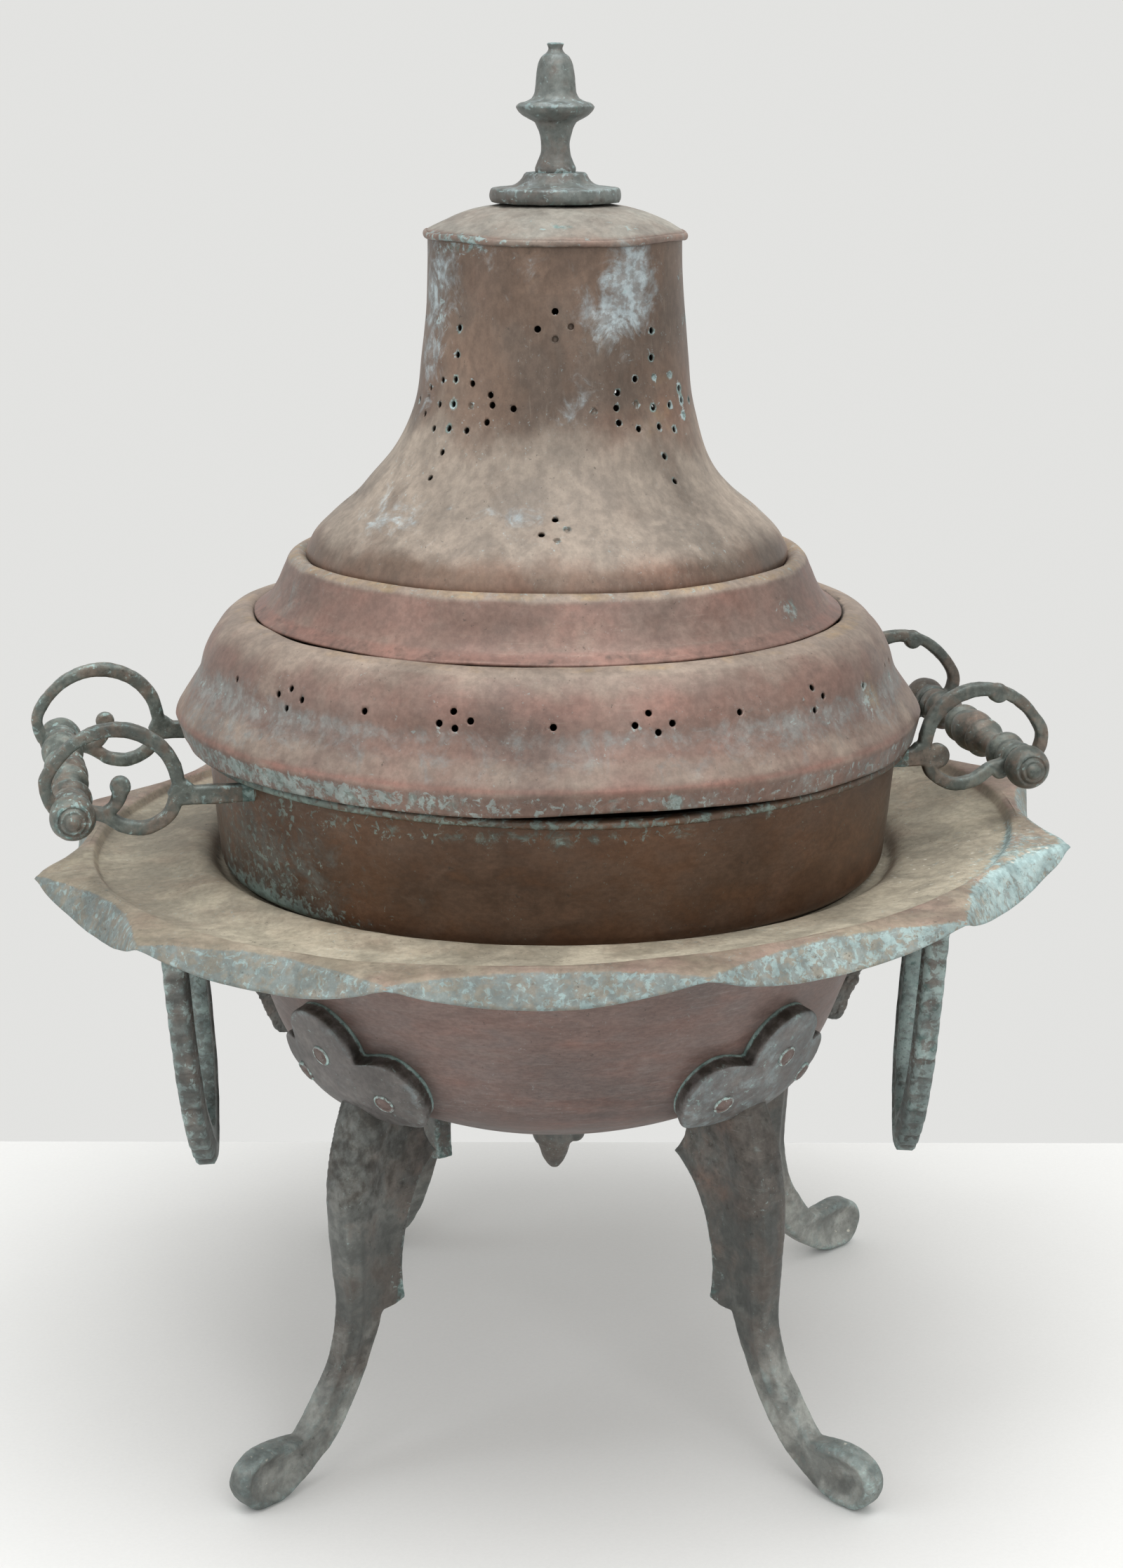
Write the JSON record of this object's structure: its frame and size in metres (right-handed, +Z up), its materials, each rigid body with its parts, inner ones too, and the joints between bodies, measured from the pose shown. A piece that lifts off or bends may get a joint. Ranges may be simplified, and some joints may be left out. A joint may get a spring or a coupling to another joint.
{
  "type": "brazier",
  "caption": "Free-standing round metal brazier on cabriole legs: a lobed tray holds a lift-out fire pan under a tiered pierced lid with a finial, and drop handles hang at its sides.",
  "frame": {"origin": "on the lid's axis, level with the soles of the feet", "axes": "+Z up along the lid's axis; -Y faces the viewer, between the two front legs; the drop handles are at -X and +X"},
  "size_m": [0.6451, 0.6278, 0.862],
  "materials": {
    "lid_copper": "aged copper sheet with a dusty pink-brown patina and verdigris",
    "pan_copper": "smoke-darkened brown copper sheet",
    "tray_copper": "dusty copper sheet with a verdigris edge",
    "bowl_copper": "aged copper sheet with a grey-mauve patina",
    "cast_finial": "grey-green weathered brass casting",
    "cast_handle": "dark green weathered brass casting",
    "cast_stand": "grey-green weathered brass casting",
    "cast_plate": "grey weathered brass casting with verdigris seams",
    "rivet_copper": "peened copper"
  },
  "bodies": {
    "stand": {"tray": "tray_copper", "bowl": "bowl_copper", "leg_rivets": "rivet_copper", "bottom_finial": "cast_stand", "leg_front_left": "cast_stand", "leg_front_right": "cast_stand", "leg_rear_right": "cast_stand", "leg_rear_left": "cast_stand", "leg_plate_front_left": "cast_plate", "leg_plate_front_right": "cast_plate", "leg_plate_rear_right": "cast_plate", "leg_plate_rear_left": "cast_plate", "left_bail_bracket": "cast_stand", "left_bail_pin": "cast_stand", "right_bail_bracket": "cast_stand", "right_bail_pin": "cast_stand"},
    "pan": {"fire_pan": "pan_copper", "left_arm_front": "cast_handle", "left_arm_rear": "cast_handle", "left_grip": "cast_handle", "left_grip_knobs": "cast_handle", "right_arm_front": "cast_handle", "right_arm_rear": "cast_handle", "right_grip": "cast_handle", "right_grip_knobs": "cast_handle"},
    "lid": {"lid_skirt": "lid_copper", "lid_middle_tier": "lid_copper", "lid_bell": "lid_copper", "lid_cap": "lid_copper", "finial_base": "cast_finial", "finial_knob": "cast_finial"},
    "left_drop_handle": {"left_bail": "cast_stand"},
    "right_drop_handle": {"right_bail": "cast_stand"}
  },
  "joints": [
    {"name": "pan_lift", "type": "slide", "parent": "stand", "child": "pan", "axis": [0, 0, 1], "range_m": [0, 0.2]},
    {"name": "lid_lift", "type": "slide", "parent": "pan", "child": "lid", "axis": [0, 0, 1], "range_m": [0, 0.3]},
    {"name": "left_drop_handle_hinge", "type": "hinge", "parent": "stand", "child": "left_drop_handle", "pos_m": [-0.231, 0, 0.334], "axis": [0, 1, 0], "range_deg": [-15, 85]},
    {"name": "right_drop_handle_hinge", "type": "hinge", "parent": "stand", "child": "right_drop_handle", "pos_m": [0.231, 0, 0.345], "axis": [0, -1, 0], "range_deg": [-15, 85]}
  ]
}
